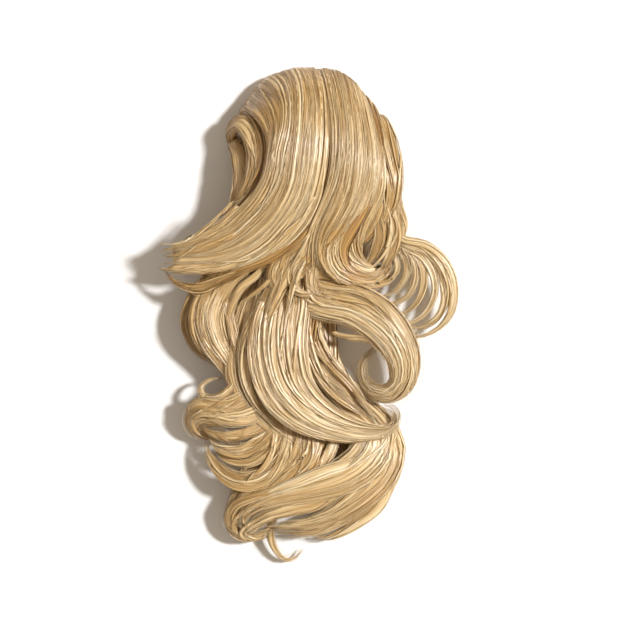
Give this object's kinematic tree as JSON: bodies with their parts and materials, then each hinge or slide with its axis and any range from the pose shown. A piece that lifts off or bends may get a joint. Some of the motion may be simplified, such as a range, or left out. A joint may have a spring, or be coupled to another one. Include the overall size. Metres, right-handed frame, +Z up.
{
  "type": "ponytail extension",
  "caption": "Wavy blond ponytail hair extension: locks over a domed crown, with a cap that opens for a bun and a comb that holds it on.",
  "frame": {"origin": "on the surface that the piece lies on, under the middle of its box", "axes": "+Y from the tips towards the crown, +X to the right of the piece as it is looked down on, +Z up from the surface"},
  "size_m": [0.2486, 0.4178, 0.0602],
  "materials": {
    "hair": "glossy combed synthetic fibre, honey blond with pale streaks",
    "cap": "matte stretch net",
    "comb": "smooth moulded plastic, amber"
  },
  "bodies": {
    "root": {"hair": "hair", "cap": "cap", "comb": "comb"}
  },
  "joints": []
}
